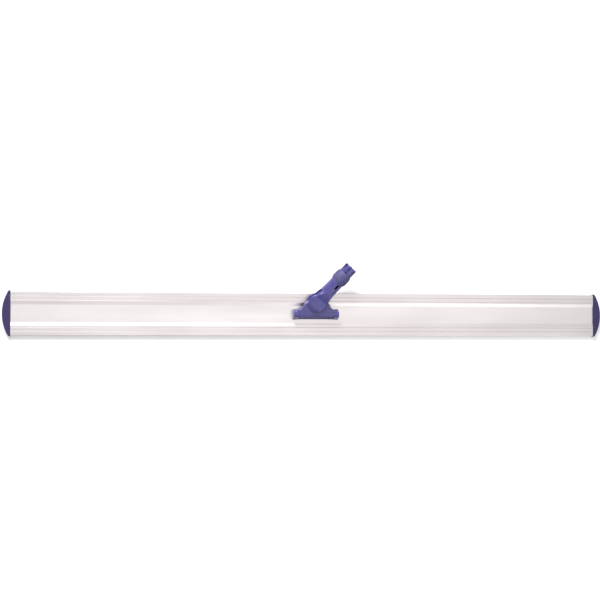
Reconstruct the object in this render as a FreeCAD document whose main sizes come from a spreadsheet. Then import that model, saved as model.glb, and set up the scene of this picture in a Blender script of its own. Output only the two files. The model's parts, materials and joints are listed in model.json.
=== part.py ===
import FreeCAD, Part

import os
import re

import Sketcher
from FreeCAD import Placement, Rotation, Vector

# A wide flat mop frame: an aluminium extrusion with a plastic cap at each end
# and a two-axis handle joint in the middle.
#
# Row frame: +X along the extrusion, +Y to the rear, +Z up.  The origin is in the
# middle of the underside, on the plane that the hook strips stand on.
#
# Tilt frame: origin on the tilt pin's axis, +Z up the rocker's web when the joint
# stands upright.  Swing frame: origin on the swing pin's axis, +Z along the handle.

# Driving dimensions: alias, size in millimetres or degrees, meaning.
DIMENSIONS = (
    ("overall_length", 1524, "tip of one cap to tip of the other, the 60 inch size"),
    ("cap_reach", 20, "cap beyond the end of the extrusion"),
    ("cap_straight", 4.5, "straight flank of a cap before its arc starts"),
    ("cap_width", 111, "cap across"),
    ("cap_floor", 0.5, "underside of a cap"),
    ("cap_top", 10.4, "top of a cap"),
    ("cap_corner_round", 5, "rounding of a cap's outline between flank and arc"),
    ("cap_top_round", 2.2, "rounding of a cap's upper edge"),
    ("cap_low_round", 0.8, "rounding of a cap's lower edge"),
    ("tongue_length", 18, "tongue of a cap inside the extrusion"),
    ("tongue_play", 0.2, "play of a tongue in its channel"),
    ("profile_width", 107, "extrusion across"),
    ("profile_foot", 0.8, "underside of the extrusion"),
    ("web_top", 7, "top of the thin centre web"),
    ("web_thick", 1.8, "thickness of the centre web"),
    ("band_top", 9, "top of the raised side bands"),
    ("band_inner", 29.5, "inner edge of a band's flat top"),
    ("band_step", 8, "width of the sloped step down to the web"),
    ("leg_inner", 27, "inner face of a band's leg"),
    ("channel_inner", 33, "inner side of the closed channel"),
    ("channel_outer", 51, "outer side of the closed channel"),
    ("channel_floor", 4.4, "bottom of the closed channel"),
    ("channel_roof", 7.5, "top of the closed channel"),
    ("slot_mouth_inner", 31, "inner lip of the hook strip's slot"),
    ("slot_mouth_outer", 49, "outer lip of the hook strip's slot"),
    ("slot_inner", 29, "inner side of the hook strip's slot"),
    ("slot_outer", 51, "outer side of the hook strip's slot"),
    ("slot_lip", 1.6, "top of the slot's lips"),
    ("slot_roof", 3.2, "roof of the slot"),
    ("strip_play", 0.15, "play of a hook strip in its slot"),
    ("groove_outer", 42.5, "outer V groove in a band"),
    ("groove_inner", 32.8, "inner V groove in a band"),
    ("groove_half", 0.6, "half width of a V groove"),
    ("groove_depth", 0.5, "depth of a V groove"),
    ("edge_round", 1.6, "rounding of the extrusion's upper edges"),
    ("port_across", 30, "screw port from the middle"),
    ("port_height", 5.5, "screw port above the floor"),
    ("port_radius", 1.5, "screw port"),
    ("port_depth", 16, "how far a cap screw enters its port"),
    ("cap_head_radius", 2.5, "head of a cap screw"),
    ("cap_head_thick", 2, "head of a cap screw"),
    ("cap_head_seat", 4, "cap material under a cap screw's head"),
    ("saddle_half", 57, "joint base, half length"),
    ("saddle_waist", 30, "half length of the joint base's straight waist"),
    ("waist_half", 12, "half width of the waist"),
    ("foot_edge", 9, "height of the base's upright foot edge"),
    ("foot_top", 9.5, "top of the foot between the cheeks' paths"),
    ("trough_half", 33, "half length of the low part of the base"),
    ("cradle_top", 15, "top of the cradle under the barrel"),
    ("ear_gap_half", 45, "inner faces of the two ears"),
    ("ear_radius", 8, "rounding of an ear about the tilt axis"),
    ("ear_lean", 20.5, "lean of an ear's flanks"),
    ("tilt_height", 22.5, "tilt axis above the floor plane"),
    ("pin_radius", 3, "tilt pin"),
    ("pin_half", 54.5, "half length of the tilt pin"),
    ("pin_plug_radius", 4.5, "plug over the tilt pin"),
    ("base_screw_x", 51, "base screws from the middle"),
    ("base_screw_y", 5.5, "base screws from the middle"),
    ("base_screw_radius", 2, "shank of a base screw"),
    ("base_screw_depth", 9, "base screw inside the joint base"),
    ("base_head_radius", 3.8, "head of a base screw"),
    ("base_head_thick", 2, "head of a base screw"),
    ("hole_play", 0.25, "play of a base screw in plate and web"),
    ("plate_half_length", 60, "backing plate"),
    ("plate_half_width", 18, "backing plate"),
    ("plate_thick", 2, "backing plate"),
    ("barrel_half", 44.5, "half length of the rocker's barrel"),
    ("barrel_radius", 7, "rocker's barrel and half thickness of its web"),
    ("cradle_play", 1, "space between barrel and cradle"),
    ("web_corner_high", 12, "where the web's flank leaves the barrel"),
    ("shoulder_x", 31, "shoulder of the web"),
    ("shoulder_z", 27.5, "shoulder of the web"),
    ("flank_radius", 26, "hollow of the web's flank"),
    ("lug_radius", 21, "lug of the web about the swing axis"),
    ("lug_start", 20, "angle where the lug's arc starts"),
    ("relief_radius", 3.6, "bore of the barrel between its bushes"),
    ("tilt_bush_radius", 4.6, "outside of a tilt bush"),
    ("tilt_bush_length", 20, "tilt bush without its flange"),
    ("tilt_flange_radius", 6, "flange of a tilt bush"),
    ("tilt_flange_thick", 0.4, "flange of a tilt bush"),
    ("running_play", 0.05, "radial play of a bush on its pin"),
    ("swing_rise", 29.5, "swing axis above the tilt axis"),
    ("swing_pin_radius", 4, "swing pin"),
    ("swing_pin_front", 11, "blind end of the swing pin"),
    ("swing_pin_rear", 11.5, "rear end of the swing pin"),
    ("swing_plug_radius", 6, "plug over the swing pin"),
    ("swing_plug_end", 12.6, "outer face of that plug"),
    ("swing_bush_radius", 6, "outside of the swing bush"),
    ("washer_radius", 11, "swing washer"),
    ("washer_thick", 0.5, "swing washer"),
    ("fork_gap_half", 7.6, "half gap of the fork"),
    ("fork_half", 13, "half thickness of the fork"),
    ("cheek_radius", 24, "round cheeks of the fork"),
    ("cheek_flat", 11, "flat middle of a cheek"),
    ("cheek_rim", 10.4, "half thickness of the fork at a cheek's rim"),
    ("cheek_dome", 42, "rounding of a cheek towards its rim"),
    ("throat", 33.5, "closed end of the fork's gap"),
    ("throat_bevel", 2, "bevel in the corners of the throat"),
    ("neck_low", 22.5, "neck radius at the swing axis"),
    ("neck_knee", 20, "neck radius above the cheeks"),
    ("neck_knee_z", 24, "height of that section"),
    ("neck_slim", 17.6, "neck radius where the hollow ends"),
    ("neck_slim_z", 47, "height of that section"),
    ("neck_low_hollow", 95, "hollow of the neck below its knee"),
    ("neck_high_hollow", 180, "hollow of the neck above its knee"),
    ("flat_hollow", 120, "hollow of the neck's flats where they run out"),
    ("tube_radius", 17, "handle tube outside"),
    ("tube_start", 66, "where the neck has become the tube"),
    ("seat_start", 71, "collar seat, lower end"),
    ("seat_end", 103, "collar seat, upper end"),
    ("seat_radius", 15.8, "collar seat"),
    ("mouth", 124.2, "mouth of the handle tube"),
    ("bore_radius", 12.8, "bore for a 25 mm handle"),
    ("bore_floor", 48, "bottom of that bore"),
    ("mouth_bevel", 1, "bevel of the mouth, inside and outside"),
    ("notch_count", 7, "notches in the mouth"),
    ("notch_turn", -18, "a notch from the front, about the tube"),
    ("notch_half", 2.75, "half width of a notch"),
    ("notch_depth", 12, "depth of a notch"),
    ("slit_half", 0.8, "half width of the slit below a notch"),
    ("slit_end", 84, "lower end of the slits"),
    ("window_z", 63, "middle of the snap button's window"),
    ("window_half", 3, "half width of the window"),
    ("window_straight", 3.5, "half length of its straight sides"),
    ("window_turn", 14, "window from the front, about the tube"),
    ("collar_play", 0.3, "play of the collar on its seat, all round and endwise"),
    ("collar_lip", 17.2, "collar radius at its ends"),
    ("collar_belly", 20, "collar radius at its belly"),
    ("collar_taper", 8.8, "length of each tapered end"),
    ("rest_tilt", 74, "how far the rocker leans back at rest"),
    ("rest_swing", 41.4, "how far the handle leans to the right at rest"),
)
ALIASES = {name for name, _, _ in DIMENSIONS}

# Half width of the joint base at its ends: the ears' flanks carried down to the foot edge.
SADDLE_WIDE = "(ear_radius / cos(ear_lean) + (tilt_height - foot_edge) * tan(ear_lean))"
PROFILE_HALF = "(overall_length / 2 - cap_reach)"
THROUGH = "200"
TINY = 1e-6

document = FreeCAD.newDocument("flat_mop_frame")
sheet = document.addObject("Spreadsheet::Sheet", "Dims")
for row, (alias, size, meaning) in enumerate(DIMENSIONS, start=1):
    sheet.set("A%d" % row, alias)
    sheet.set("B%d" % row, str(size))
    sheet.set("C%d" % row, meaning)
    sheet.setAlias("B%d" % row, alias)
document.recompute()

finished = []


def bound(expression):
    """Write the sheet's name before every alias of an expression."""

    def prefixed(word):
        return "Dims." + word.group() if word.group() in ALIASES else word.group()

    return re.sub(r"[a-z_]+", prefixed, expression)


def value(expression):
    """The number that an expression of aliases gives."""
    return float(sheet.evalExpression(bound(expression)))


def new_body(label):
    """An empty body that will be one node."""
    body = document.addObject("PartDesign::Body", label)
    body.Label = label
    finished.append(body)
    return body


def origin_feature(body, role):
    """A body's own origin plane or axis."""
    return next(item for item in body.Origin.OriginFeatures if item.Role == role)


def sketch_on(body, name, plane, offset="0", turn=None):
    """A sketch on one of the body's origin planes, moved along its normal."""
    sketch = body.newObject("Sketcher::SketchObject", name)
    sketch.AttachmentSupport = [(origin_feature(body, plane), "")]
    sketch.MapMode = "FlatFace"
    if turn:
        sketch.AttachmentOffset = Placement(Vector(), Rotation(Vector(0, 1, 0), value(turn)))
    sketch.setExpression(".AttachmentOffset.Base.z", bound(offset))
    return sketch


def arc_between(start, end, radius):
    """The short arc of two points; a positive radius bulges to the right of travel."""
    chord = end - start
    half = chord.Length / 2
    depth = abs(radius) - (radius * radius - half * half) ** 0.5
    side = Vector(chord.y, -chord.x, 0).normalize() * (depth if radius > 0 else -depth)
    return Part.Arc(start, start + chord * 0.5 + side, end)


def bind_all(sketch, wanted):
    """Add constraints, each with the expression that it follows or None."""
    indices = sketch.addConstraint([constraint for constraint, _ in wanted])
    for index, (_, expression) in zip(indices, wanted):
        if expression:
            sketch.setExpression("Constraints[%d]" % index, bound(expression))


def point_constraints(geometry, end, across, along):
    """Constraints that hold a point at two expressions from the sketch's origin."""
    wanted = []
    for kind, axis, expression in (("DistanceX", -2, across), ("DistanceY", -1, along)):
        size = value(expression)
        if abs(size) < TINY:
            wanted.append((Sketcher.Constraint("PointOnObject", geometry, end, axis), None))
        else:
            constraint = Sketcher.Constraint(kind, -1, 1, geometry, end, size)
            wanted.append((constraint, expression))
    return wanted


def add_outline(sketch, corners):
    """A closed outline; a corner's third value is the radius of the edge after it."""
    points = [Vector(value(corner[0]), value(corner[1]), 0) for corner in corners]
    edges = []
    ends = []
    for index, corner in enumerate(corners):
        start = points[index]
        end = points[(index + 1) % len(corners)]
        if len(corner) == 3:
            shape = arc_between(start, end, value(corner[2]))
        else:
            shape = Part.LineSegment(start, end)
        edges.append(sketch.addGeometry(shape, False))
        starts_here = sketch.getPoint(edges[-1], 1).distanceToPoint(start) < TINY
        ends.append((1, 2) if starts_here else (2, 1))
    wanted = []
    for index, corner in enumerate(corners):
        after = (index + 1) % len(corners)
        here = (edges[index], ends[index][1])
        there = (edges[after], ends[after][0])
        wanted.append((Sketcher.Constraint("Coincident", *here, *there), None))
        wanted += point_constraints(edges[index], ends[index][0], corner[0], corner[1])
        if len(corner) == 3:
            radius = "abs(%s)" % corner[2]
            wanted.append((Sketcher.Constraint("Radius", edges[index], value(radius)), radius))
    bind_all(sketch, wanted)


def add_circle(sketch, across, along, radius):
    """A circle held by expressions."""
    centre = Vector(value(across), value(along), 0)
    circle = sketch.addGeometry(Part.Circle(centre, Vector(0, 0, 1), value(radius)), False)
    wanted = point_constraints(circle, 3, across, along)
    wanted.append((Sketcher.Constraint("Radius", circle, value(radius)), radius))
    bind_all(sketch, wanted)


def pad(body, sketch, length, both_ways=True):
    """Extrude a sketch, to both sides of its plane or along its normal."""
    feature = body.newObject("PartDesign::Pad", sketch.Name + "_pad")
    feature.Profile = (sketch, [""])
    feature.SideType = "Symmetric" if both_ways else "One side"
    feature.setExpression("Length", bound(length))
    document.recompute()
    return feature


def pocket(body, sketch, length, both_ways=False, along_normal=False):
    """Cut a sketch out of a body and make sure that something was cut."""
    before = body.Shape.Volume
    feature = body.newObject("PartDesign::Pocket", sketch.Name + "_cut")
    feature.Profile = (sketch, [""])
    feature.SideType = "Symmetric" if both_ways else "One side"
    feature.Reversed = along_normal
    feature.setExpression("Length", bound(length))
    document.recompute()
    if body.Shape.Volume > before - TINY:
        raise RuntimeError("%s of %s cuts nothing" % (sketch.Name, body.Label))
    return feature


def revolve(body, sketch, axis):
    """Turn a sketch once round one of its own axes."""
    feature = body.newObject("PartDesign::Revolution", sketch.Name + "_turned")
    feature.Profile = (sketch, [""])
    feature.ReferenceAxis = (sketch, [axis])
    feature.Angle = 360
    document.recompute()
    return feature


def fillet(body, radius, wanted):
    """Round the edges of the body's tip that a test picks."""
    tip = body.Tip
    names = ["Edge%d" % number for number, edge in enumerate(tip.Shape.Edges, start=1) if wanted(edge)]
    feature = body.newObject("PartDesign::Fillet", body.Name + "_round")
    feature.Base = (tip, names)
    feature.setExpression("Radius", bound(radius))
    document.recompute()
    return feature


def turned(label, plane, axis, corners, place=None):
    """A body turned from a half section."""
    body = new_body(label)
    sketch = sketch_on(body, label + "_section", plane)
    add_outline(sketch, corners)
    revolve(body, sketch, axis)
    if place:
        body.Placement = place
    return body


def ring(inner, outer, start, end):
    """Half section of a ring: radii up the sketch, its length along the sketch."""
    return [(start, inner), (end, inner), (end, outer), (start, outer)]


def mirrored(corners):
    """The same corners on the other side of the sketch's upright axis, in reverse."""
    return [("-(%s)" % across, along) for across, along in reversed(corners)]


def cylinder(name, radius, height, start, direction=None):
    """A cylinder from a start point of three expressions, along +Z or a direction."""
    solid = document.addObject("Part::Cylinder", name)
    solid.setExpression("Radius", bound(radius))
    solid.setExpression("Height", bound(height))
    if direction:
        solid.Placement = Placement(Vector(), Rotation(Vector(0, 0, 1), direction))
    for axis, expression in zip("xyz", start):
        solid.setExpression(".Placement.Base." + axis, bound(expression))
    return solid


def group(label, solids):
    """Separate solids that share one node."""
    compound = document.addObject("Part::Compound", label)
    compound.Links = solids
    compound.Label = label
    finished.append(compound)
    return compound


# Where the joint's frames lie in the row frame at rest.
TILT_FRAME = Placement(Vector(0, 0, value("tilt_height")), Rotation(Vector(1, 0, 0), -value("rest_tilt")))
PIVOT_FRAME = TILT_FRAME * Placement(Vector(0, 0, value("swing_rise")), Rotation())
SWING_FRAME = PIVOT_FRAME * Placement(Vector(), Rotation(Vector(0, 1, 0), value("rest_swing")))


def groove(centre):
    """Three corners of a V groove in a band's top, from the outside in."""
    return [
        (centre + " + groove_half", "band_top"),
        (centre, "band_top - groove_depth"),
        (centre + " - groove_half", "band_top"),
    ]


def frame_profile():
    """The extrusion: web, two hollow bands, T slots below and screw ports."""
    body = new_body("frame_profile")
    section = sketch_on(body, "profile_section", "YZ_Plane")
    half = [
        ("leg_inner", "web_top - web_thick"),
        ("leg_inner", "profile_foot"),
        ("slot_mouth_inner", "profile_foot"),
        ("slot_mouth_inner", "slot_lip"),
        ("slot_inner", "slot_lip"),
        ("slot_inner", "slot_roof"),
        ("slot_outer", "slot_roof"),
        ("slot_outer", "slot_lip"),
        ("slot_mouth_outer", "slot_lip"),
        ("slot_mouth_outer", "profile_foot"),
        ("profile_width / 2", "profile_foot"),
        ("profile_width / 2", "band_top"),
    ]
    half += groove("groove_outer") + groove("groove_inner")
    half += [("band_inner", "band_top"), ("band_inner - band_step", "web_top")]
    add_outline(section, half + mirrored(half))
    for side in ("-", ""):
        add_outline(section, [
            (side + "channel_inner", "channel_floor"),
            (side + "channel_outer", "channel_floor"),
            (side + "channel_outer", "channel_roof"),
            (side + "channel_inner", "channel_roof"),
        ])
        add_circle(section, side + "port_across", "port_height", "port_radius")
    pad(body, section, "2 * " + PROFILE_HALF)
    holes = sketch_on(body, "web_holes", "XY_Plane")
    for across, along in screw_places():
        add_circle(holes, across, along, "base_screw_radius + hole_play")
    pocket(body, holes, THROUGH, both_ways=True)

    def outer_top_edge(edge):
        middle = edge.BoundBox
        outside = abs(abs(middle.Center.y) - value("profile_width / 2")) < TINY
        return outside and abs(middle.Center.z - value("band_top")) < TINY and middle.XLength > 1

    fillet(body, "edge_round", outer_top_edge)


def screw_places():
    """The four base screws, as expressions."""
    return [(x + "base_screw_x", y + "base_screw_y") for x in ("-", "") for y in ("-", "")]


def hook_strip(label, side):
    """A hook strip: broad back in the T slot, narrower hook field down to the floor plane."""
    body = new_body(label)
    section = sketch_on(body, label + "_section", "YZ_Plane")
    inner_field = "slot_mouth_inner + strip_play"
    outer_field = "slot_mouth_outer - strip_play"
    inner_back = "slot_inner + strip_play"
    outer_back = "slot_outer - strip_play"
    corners = [
        (inner_field, "0"),
        (outer_field, "0"),
        (outer_field, "slot_lip"),
        (outer_back, "slot_lip"),
        (outer_back, "slot_roof - strip_play"),
        (inner_back, "slot_roof - strip_play"),
        (inner_back, "slot_lip"),
        (inner_field, "slot_lip"),
    ]
    add_outline(section, corners if side > 0 else mirrored(corners))
    pad(body, section, "2 * " + PROFILE_HALF)


def end_caps():
    """A D-shaped cap with two tongues that plug the channels, and its mirror image."""
    body = new_body("left_end_cap")
    at_chord = "-" + PROFILE_HALF
    at_arc = "(-%s - cap_straight)" % PROFILE_HALF
    sagitta = "(cap_reach - cap_straight)"
    radius = "((cap_width ^ 2 / 4 + %s ^ 2) / (2 * %s))" % (sagitta, sagitta)
    plan = sketch_on(body, "cap_plan", "XY_Plane", "cap_floor")
    add_outline(plan, [
        (at_arc, "cap_width / 2", radius),
        (at_arc, "-cap_width / 2"),
        (at_chord, "-cap_width / 2"),
        (at_chord, "cap_width / 2"),
    ])
    pad(body, plan, "cap_top - cap_floor", both_ways=False)

    def flank_corner(edge):
        upright = edge.BoundBox.ZLength > 1
        return upright and edge.BoundBox.XMax < value(at_arc) + TINY

    fillet(body, "cap_corner_round", flank_corner)
    seat_plane = at_chord + " - cap_head_seat"
    tongues = sketch_on(body, "cap_tongues", "YZ_Plane", seat_plane)
    for hand in ("-", ""):
        add_outline(tongues, [
            (hand + "(channel_inner + tongue_play)", "channel_floor + tongue_play"),
            (hand + "(channel_outer - tongue_play)", "channel_floor + tongue_play"),
            (hand + "(channel_outer - tongue_play)", "channel_roof - tongue_play"),
            (hand + "(channel_inner + tongue_play)", "channel_roof - tongue_play"),
        ])
    pad(body, tongues, "tongue_length + cap_head_seat", both_ways=False)

    seats = sketch_on(body, "cap_head_seats", "YZ_Plane", seat_plane)
    shafts = sketch_on(body, "cap_screw_holes", "YZ_Plane", at_chord)
    for hand in ("-", ""):
        add_circle(seats, hand + "port_across", "port_height", "cap_head_radius + strip_play")
        add_circle(shafts, hand + "port_across", "port_height", "port_radius")
    pocket(body, seats, "cap_reach")
    pocket(body, shafts, "cap_reach")

    def on_level(height):
        def rim_edge(edge):
            flat = edge.BoundBox.ZLength < TINY and abs(edge.BoundBox.ZMin - value(height)) < TINY
            return flat and abs(edge.BoundBox.Center.x) > value(PROFILE_HALF) + TINY
        return rim_edge

    fillet(body, "cap_top_round", on_level("cap_top"))
    fillet(body, "cap_low_round", on_level("cap_floor"))

    mirror = document.addObject("Part::Mirroring", "right_end_cap")
    mirror.Label = "right_end_cap"
    mirror.Source = body
    mirror.Normal = Vector(1, 0, 0)
    finished.append(mirror)


def cap_screws(label, side):
    """Two pan-head screws along the extrusion, into its ports."""
    outward = Vector(side, 0, 0)
    solids = []
    for hand in ("-", ""):
        seat = "%d * (%s + cap_head_seat)" % (side, PROFILE_HALF)
        tip = "%d * (%s - port_depth)" % (side, PROFILE_HALF)
        name = "%s_%s" % (label, "front" if hand else "rear")
        across = hand + "port_across"
        shank = cylinder(name + "_shank", "port_radius", "port_depth + cap_head_seat",
                         (tip, across, "port_height"), outward)
        head = cylinder(name + "_head", "cap_head_radius", "cap_head_thick",
                        (seat, across, "port_height"), outward)
        screw = document.addObject("Part::MultiFuse", name)
        screw.Shapes = [shank, head]
        solids.append(screw)
    group(label, solids)


def joint_base():
    """The saddle: waisted foot, two leaning ears, a cradle under the barrel."""
    body = new_body("joint_base")
    lean_x = "ear_radius * cos(ear_lean)"
    lean_z = "tilt_height + ear_radius * sin(ear_lean)"
    section = sketch_on(body, "saddle_section", "YZ_Plane")
    add_outline(section, [
        ("-" + SADDLE_WIDE, "web_top"),
        (SADDLE_WIDE, "web_top"),
        (SADDLE_WIDE, "foot_edge"),
        (lean_x, lean_z, "ear_radius"),
        ("0", "tilt_height + ear_radius", "ear_radius"),
        ("-" + lean_x, lean_z),
        ("-" + SADDLE_WIDE, "foot_edge"),
    ])
    pad(body, section, "2 * saddle_half")

    waist = sketch_on(body, "saddle_waist", "XY_Plane")
    reach = "(saddle_half - saddle_waist)"
    flare = "(%s - waist_half)" % SADDLE_WIDE
    radius = "(%s ^ 2 + %s ^ 2) / (2 * %s)" % (reach, flare, flare)
    for side in ("-", ""):
        add_outline(waist, [
            ("-saddle_half", side + SADDLE_WIDE, side + radius),
            ("-saddle_waist", side + "waist_half"),
            ("saddle_waist", side + "waist_half", side + radius),
            ("saddle_half", side + SADDLE_WIDE),
            ("saddle_half", side + "2 * " + SADDLE_WIDE),
            ("-saddle_half", side + "2 * " + SADDLE_WIDE),
        ])
    pocket(body, waist, THROUGH, both_ways=True)

    trough = sketch_on(body, "saddle_trough", "XZ_Plane")
    above = "tilt_height + 2 * ear_radius"
    right = [
        ("trough_half", "foot_top"),
        ("trough_half", "cradle_top"),
        ("ear_gap_half", "cradle_top"),
        ("ear_gap_half", above),
    ]
    add_outline(trough, right + mirrored(right))
    pocket(body, trough, THROUGH, both_ways=True)

    cradle = sketch_on(body, "saddle_cradle", "YZ_Plane")
    add_circle(cradle, "0", "tilt_height", "barrel_radius + cradle_play")
    pocket(body, cradle, "2 * ear_gap_half", both_ways=True)
    bore = sketch_on(body, "saddle_bore", "YZ_Plane")
    add_circle(bore, "0", "tilt_height", "pin_radius")
    pocket(body, bore, THROUGH, both_ways=True)
    for side, name in ((-1, "left"), (1, "right")):
        seat = sketch_on(body, name + "_plug_seat", "YZ_Plane", "%d * pin_half" % side)
        add_circle(seat, "0", "tilt_height", "pin_plug_radius")
        pocket(body, seat, "saddle_half - pin_half", along_normal=side > 0)
    holes = sketch_on(body, "saddle_screw_holes", "XY_Plane", "web_top")
    for across, along in screw_places():
        add_circle(holes, across, along, "base_screw_radius")
    pocket(body, holes, "base_screw_depth", along_normal=True)


def base_backing_plate():
    """The steel plate under the web."""
    body = new_body("base_backing_plate")
    top = "web_top - web_thick"
    plan = sketch_on(body, "plate_plan", "XY_Plane", top + " - plate_thick")
    add_outline(plan, [
        ("-plate_half_length", "-plate_half_width"),
        ("plate_half_length", "-plate_half_width"),
        ("plate_half_length", "plate_half_width"),
        ("-plate_half_length", "plate_half_width"),
    ])
    for across, along in screw_places():
        add_circle(plan, across, along, "base_screw_radius + hole_play")
    pad(body, plan, "plate_thick", both_ways=False)


def base_screws():
    """Four pan-head screws from below, through plate and web into the base."""
    plate_bottom = "web_top - web_thick - plate_thick"
    solids = []
    for number, (across, along) in enumerate(screw_places(), start=1):
        name = "base_screw_%d" % number
        shank = cylinder(name + "_shank", "base_screw_radius",
                         "web_thick + plate_thick + base_screw_depth", (across, along, plate_bottom))
        head = cylinder(name + "_head", "base_head_radius", "base_head_thick",
                        (across, along, plate_bottom + " - base_head_thick"))
        screw = document.addObject("Part::MultiFuse", name)
        screw.Shapes = [shank, head]
        solids.append(screw)
    group("base_screws", solids)


def tilt_pin_and_plugs():
    """The tilt pin, pressed in both ears, and the plugs over its ends."""
    on_axis = Placement(Vector(0, 0, value("tilt_height")), Rotation())
    pin = [("-pin_half", "0"), ("pin_half", "0"), ("pin_half", "pin_radius"), ("-pin_half", "pin_radius")]
    turned("tilt_pin", "XZ_Plane", "H_Axis", pin, on_axis)
    for side, label in (("-", "left_pin_plug"), ("", "right_pin_plug")):
        inner = side + "pin_half"
        outer = side + "saddle_half"
        plug = [(inner, "0"), (outer, "0"), (outer, "pin_plug_radius"), (inner, "pin_plug_radius")]
        turned(label, "XZ_Plane", "H_Axis", plug, on_axis)


def rocker():
    """Barrel between the ears and the upright web with its lug."""
    body = new_body("rocker")
    outline = sketch_on(body, "rocker_outline", "XZ_Plane")
    lug_x = "lug_radius * cos(lug_start)"
    lug_z = "swing_rise + lug_radius * sin(lug_start)"
    add_outline(outline, [
        ("-barrel_half", "0"),
        ("barrel_half", "0"),
        ("barrel_half", "web_corner_high", "-flank_radius"),
        ("shoulder_x", "shoulder_z"),
        (lug_x, lug_z, "lug_radius"),
        ("0", "swing_rise + lug_radius", "lug_radius"),
        ("-" + lug_x, lug_z),
        ("-shoulder_x", "shoulder_z", "-flank_radius"),
        ("-barrel_half", "web_corner_high"),
    ])
    pad(body, outline, "2 * barrel_radius")
    barrel = sketch_on(body, "rocker_barrel", "YZ_Plane")
    add_circle(barrel, "0", "0", "barrel_radius")
    pad(body, barrel, "2 * barrel_half")
    relief = sketch_on(body, "rocker_relief", "YZ_Plane")
    add_circle(relief, "0", "0", "relief_radius")
    pocket(body, relief, THROUGH, both_ways=True)
    for side, name in ((-1, "left"), (1, "right")):
        seat_floor = "%d * (barrel_half - tilt_bush_length)" % side
        seat = sketch_on(body, name + "_bush_seat", "YZ_Plane", seat_floor)
        add_circle(seat, "0", "0", "tilt_bush_radius")
        pocket(body, seat, "tilt_bush_length", along_normal=side > 0)
    pivot = sketch_on(body, "rocker_pivot", "XZ_Plane")
    add_circle(pivot, "0", "swing_rise", "swing_bush_radius")
    pocket(body, pivot, THROUGH, both_ways=True)
    body.Placement = TILT_FRAME


def tilt_bushes():
    """Two flanged bushes in the barrel, running on the tilt pin."""
    for side, label in (("-", "left_tilt_bush"), ("", "right_tilt_bush")):
        bore = "pin_radius + running_play"
        inner = side + "(barrel_half - tilt_bush_length)"
        face = side + "barrel_half"
        end = side + "(barrel_half + tilt_flange_thick)"
        turned(label, "XZ_Plane", "H_Axis", [
            (inner, bore),
            (end, bore),
            (end, "tilt_flange_radius"),
            (face, "tilt_flange_radius"),
            (face, "tilt_bush_radius"),
            (inner, "tilt_bush_radius"),
        ], TILT_FRAME)


def swing_pieces():
    """Pin, plug, bush and washers on the swing axis."""
    bore = "swing_pin_radius + running_play"
    half = "barrel_radius"
    turned("swing_bush", "YZ_Plane", "H_Axis", ring(bore, "swing_bush_radius", "-" + half, half), PIVOT_FRAME)
    outer = half + " + washer_thick"
    turned("front_swing_washer", "YZ_Plane", "H_Axis",
           ring(bore, "washer_radius", "-(%s)" % outer, "-" + half), PIVOT_FRAME)
    turned("rear_swing_washer", "YZ_Plane", "H_Axis", ring(bore, "washer_radius", half, outer), PIVOT_FRAME)
    turned("swing_pin", "YZ_Plane", "H_Axis",
           ring("0", "swing_pin_radius", "-swing_pin_front", "swing_pin_rear"), SWING_FRAME)
    turned("swing_pin_plug", "YZ_Plane", "H_Axis",
           ring("0", "swing_plug_radius", "swing_pin_rear", "swing_plug_end"), SWING_FRAME)


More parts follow.
